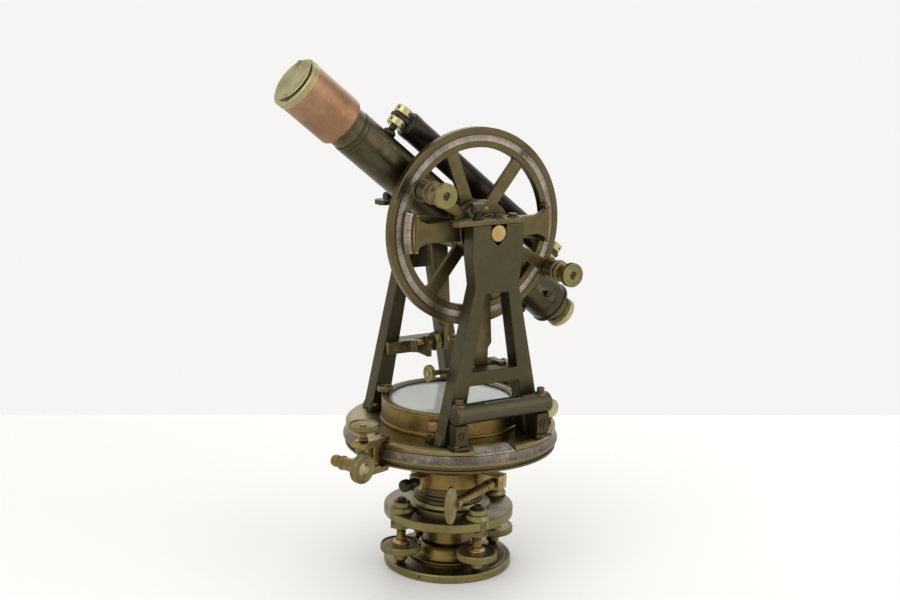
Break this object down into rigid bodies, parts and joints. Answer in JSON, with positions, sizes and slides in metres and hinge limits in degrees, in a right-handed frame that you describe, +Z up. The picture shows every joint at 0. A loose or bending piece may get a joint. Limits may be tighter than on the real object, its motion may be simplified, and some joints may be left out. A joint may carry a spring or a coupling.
{
  "type": "transit theodolite",
  "caption": "Antique surveyor's transit theodolite: telescope with vertical circle on A-frame standards over a compass and divided limb, on four-screw parallel plates.",
  "frame": {"origin": "centre of the foot plate's underside, on the vertical axis", "axes": "+Z up along the vertical axis; Y along the trunnion axis with the vertical circle on -Y; the telescope turns in the XZ plane with its objective towards -X at rest"},
  "size_m": [0.2612, 0.168, 0.3992],
  "materials": {
    "olive_bronze": "dark lacquered bronze, rubbed at its edges",
    "dark_bronze": "dark bronzed, satin",
    "aged_brass": "aged brass, satin",
    "pale_brass": "pale brass, satin",
    "bright_brass": "polished brass",
    "copper": "copper-coloured bronze, satin",
    "silver": "tarnished silver",
    "black": "black lacquer",
    "steel": "blued steel",
    "glass": "clear",
    "dial": "silvered, matt"
  },
  "bodies": {
    "foot": {"foot_plate": "olive_bronze", "ball_socket": "aged_brass"},
    "gimbal_cup": {"levelling_ball": "steel"},
    "upper_plate": {"upper_parallel_plate": "olive_bronze", "spindle_socket": "dark_bronze", "screw_bush_1": "aged_brass", "screw_bush_2": "aged_brass", "screw_bush_3": "aged_brass", "screw_bush_4": "aged_brass"},
    "levelling_screw_1_body": {"levelling_screw_1": "aged_brass"},
    "levelling_screw_2_body": {"levelling_screw_2": "aged_brass"},
    "levelling_screw_3_body": {"levelling_screw_3": "aged_brass"},
    "levelling_screw_4_body": {"levelling_screw_4": "aged_brass"},
    "limb": {"horizontal_limb": "silver"},
    "lower_clamp": {"lower_clamp_collar": "aged_brass"},
    "lower_clamp_thumb": {"lower_clamp_screw": "aged_brass"},
    "lower_tangent": {"lower_tangent_screw": "black"},
    "alidade": {"vernier_plate": "olive_bronze", "vernier_scale": "silver", "compass_box": "aged_brass", "compass_dial": "dial", "compass_glass": "glass", "compass_bezel": "dark_bronze", "near_standard": "olive_bronze", "far_standard": "olive_bronze", "near_bearing_cap": "olive_bronze", "far_bearing_cap": "olive_bronze", "plate_level_front": "olive_bronze", "plate_level_side": "olive_bronze", "tangent_bracket": "dark_bronze"},
    "needle": {"compass_needle": "steel"},
    "needle_lifter": {"needle_lifter_screw": "aged_brass"},
    "upper_clamp": {"upper_clamp_block": "aged_brass"},
    "upper_clamp_head": {"upper_clamp_screw": "aged_brass"},
    "upper_tangent": {"upper_tangent_screw": "aged_brass"},
    "telescope": {"trunnion_axis": "bright_brass", "telescope_tube": "dark_bronze", "vertical_circle": "olive_bronze", "telescope_level": "black", "level_post_front": "pale_brass", "level_post_rear": "pale_brass", "eyepiece_flange": "dark_bronze", "reticle_ring": "aged_brass"},
    "objective": {"objective_slide": "olive_bronze", "objective_lens": "glass"},
    "focus": {"focus_knob": "aged_brass"},
    "shade": {"dew_shade": "copper"},
    "lens_cap": {"objective_cap": "pale_brass"},
    "eyepiece": {"eyepiece_tube": "olive_bronze", "eye_lens": "glass", "eyecup": "pale_brass"},
    "index": {"index_frame": "olive_bronze"},
    "clip_left": {"clip_screw_left": "aged_brass"},
    "clip_right": {"clip_screw_right": "pale_brass"},
    "magnifier_bar": {"magnifier_arm": "olive_bronze"},
    "magnifier_a": {"magnifier_left": "olive_bronze"},
    "magnifier_b": {"magnifier_right": "olive_bronze"},
    "axis_clamp": {"axis_clamp_arm": "olive_bronze"},
    "axis_clamp_thumb": {"axis_clamp_screw": "black"},
    "vertical_tangent": {"telescope_tangent_screw": "aged_brass"}
  },
  "joints": [
    {"name": "tilt_x", "type": "hinge", "parent": "foot", "child": "gimbal_cup", "pos_m": [0, 0, 0.0095], "axis": [1, 0, 0], "range_deg": [-2, 2]},
    {"name": "tilt_y", "type": "hinge", "parent": "gimbal_cup", "child": "upper_plate", "pos_m": [0, 0, 0.0095], "axis": [0, 1, 0], "range_deg": [-2, 2]},
    {"name": "levelling_screw_1_turn", "type": "hinge", "parent": "foot", "child": "levelling_screw_1_body", "pos_m": [0.043, 0, 0.0165], "axis": [0, 0, 1], "range_deg": [-725, 725]},
    {"name": "levelling_screw_2_turn", "type": "hinge", "parent": "foot", "child": "levelling_screw_2_body", "pos_m": [0, 0.043, 0.0165], "axis": [0, 0, 1], "range_deg": [-725, 725]},
    {"name": "levelling_screw_3_turn", "type": "hinge", "parent": "foot", "child": "levelling_screw_3_body", "pos_m": [-0.043, 0, 0.0165], "axis": [0, 0, 1], "range_deg": [-725, 725]},
    {"name": "levelling_screw_4_turn", "type": "hinge", "parent": "foot", "child": "levelling_screw_4_body", "pos_m": [0, -0.043, 0.0165], "axis": [0, 0, 1], "range_deg": [-725, 725]},
    {"name": "limb_turn", "type": "hinge", "parent": "upper_plate", "child": "limb", "pos_m": [0, 0, 0.07], "axis": [0, 0, 1], "continuous": true},
    {"name": "lower_slow_motion", "type": "hinge", "parent": "limb", "child": "lower_clamp", "pos_m": [0, 0, 0.0746], "axis": [0, 0, 1], "range_deg": [-2.5, 2.5]},
    {"name": "lower_clamp_turn", "type": "hinge", "parent": "lower_clamp", "child": "lower_clamp_thumb", "pos_m": [0.01939, -0.03838, 0.0746], "axis": [-0.8926, -0.4509, 0], "range_deg": [-90, 90]},
    {"name": "lower_tangent_turn", "type": "hinge", "parent": "lower_clamp", "child": "lower_tangent", "pos_m": [-0.03825, -0.0117, 0.0746], "axis": [-0.9563, -0.2924, 0], "range_deg": [-905, 905]},
    {"name": "alidade_turn", "type": "hinge", "parent": "limb", "child": "alidade", "pos_m": [0, 0, 0.1156], "axis": [0, 0, 1], "continuous": true},
    {"name": "needle_turn", "type": "hinge", "parent": "alidade", "child": "needle", "pos_m": [0, 0, 0.1285], "axis": [0, 0, 1], "continuous": true},
    {"name": "needle_lifter_turn", "type": "hinge", "parent": "alidade", "child": "needle_lifter", "pos_m": [-0.04053, 0.03282, 0.137], "axis": [0, 0, 1], "range_deg": [-180, 180]},
    {"name": "upper_slow_motion", "type": "hinge", "parent": "alidade", "child": "upper_clamp", "pos_m": [0, 0, 0.106], "axis": [0, 0, 1], "range_deg": [-2.5, 2.5]},
    {"name": "upper_clamp_turn", "type": "hinge", "parent": "upper_clamp", "child": "upper_clamp_head", "pos_m": [-0.09375, -0.02956, 0.1185], "axis": [0, 0, 1], "range_deg": [-180, 180]},
    {"name": "upper_tangent_turn", "type": "hinge", "parent": "upper_clamp", "child": "upper_tangent", "pos_m": [-0.10758, -0.03392, 0.1064], "axis": [0.3007, -0.9537, 0], "range_deg": [-905, 905]},
    {"name": "telescope_transit", "type": "hinge", "parent": "alidade", "child": "telescope", "pos_m": [0, 0, 0.2745], "axis": [0, 1, 0], "range_deg": [-83.5, 186.5]},
    {"name": "objective_focus", "type": "slide", "parent": "telescope", "child": "objective", "axis": [-0.7826, 0, 0.6225], "range_m": [0, 0.02]},
    {"name": "focus_turn", "type": "hinge", "parent": "telescope", "child": "focus", "pos_m": [-0.03522, 0.0178, 0.30251], "axis": [0, 1, 0], "range_deg": [-1, 230]},
    {"name": "dew_shade_slide", "type": "slide", "parent": "objective", "child": "shade", "axis": [-0.7826, 0, 0.6225], "range_m": [-0.008, 0.012]},
    {"name": "objective_cap_pull", "type": "slide", "parent": "shade", "child": "lens_cap", "axis": [-0.7826, 0, 0.6225], "range_m": [0, 0.015]},
    {"name": "eyepiece_focus", "type": "slide", "parent": "telescope", "child": "eyepiece", "axis": [0.7826, 0, -0.6225], "range_m": [0, 0.003]},
    {"name": "index_trim", "type": "hinge", "parent": "alidade", "child": "index", "pos_m": [0, -0.038, 0.2745], "axis": [0, 1, 0], "range_deg": [-0.9, 0.9]},
    {"name": "clip_screw_left_turn", "type": "hinge", "parent": "alidade", "child": "clip_left", "pos_m": [-0.02, -0.038, 0.1685], "axis": [1, 0, 0], "range_deg": [-361, 361]},
    {"name": "clip_screw_right_turn", "type": "hinge", "parent": "alidade", "child": "clip_right", "pos_m": [0.02, -0.038, 0.1685], "axis": [1, 0, 0], "range_deg": [-361, 361]},
    {"name": "magnifier_swing", "type": "hinge", "parent": "alidade", "child": "magnifier_bar", "pos_m": [0, -0.045, 0.2745], "axis": [0, 1, 0], "range_deg": [-18, 18]},
    {"name": "magnifier_left_focus", "type": "slide", "parent": "magnifier_bar", "child": "magnifier_a", "axis": [0, -1, 0], "range_m": [0, 0.002]},
    {"name": "magnifier_right_focus", "type": "slide", "parent": "magnifier_bar", "child": "magnifier_b", "axis": [0, -1, 0], "range_m": [0, 0.002]},
    {"name": "telescope_slow_motion", "type": "hinge", "parent": "alidade", "child": "axis_clamp", "pos_m": [0, 0.0285, 0.2745], "axis": [0, 1, 0], "range_deg": [-1.5, 1.5]},
    {"name": "axis_clamp_turn", "type": "hinge", "parent": "axis_clamp", "child": "axis_clamp_thumb", "pos_m": [0, 0.0285, 0.292], "axis": [-1, 0, 0], "range_deg": [-90, 90]},
    {"name": "vertical_tangent_turn", "type": "hinge", "parent": "alidade", "child": "vertical_tangent", "pos_m": [0, 0.0285, 0.1735], "axis": [1, 0, 0], "range_deg": [-545, 545]}
  ],
  "couplings": [
    {"joint": "levelling_screw_1_turn", "follows": "tilt_y", "ratio": 360},
    {"joint": "levelling_screw_2_turn", "follows": "tilt_x", "ratio": -360},
    {"joint": "levelling_screw_3_turn", "follows": "tilt_y", "ratio": -360},
    {"joint": "levelling_screw_4_turn", "follows": "tilt_x", "ratio": 360},
    {"joint": "lower_tangent_turn", "follows": "lower_slow_motion", "ratio": 360},
    {"joint": "upper_tangent_turn", "follows": "upper_slow_motion", "ratio": 360},
    {"joint": "focus_turn", "follows": "objective_focus", "rad_per_m": 200},
    {"joint": "clip_screw_left_turn", "follows": "index_trim", "ratio": 400},
    {"joint": "clip_screw_right_turn", "follows": "index_trim", "ratio": 400},
    {"joint": "vertical_tangent_turn", "follows": "telescope_slow_motion", "ratio": 360}
  ]
}
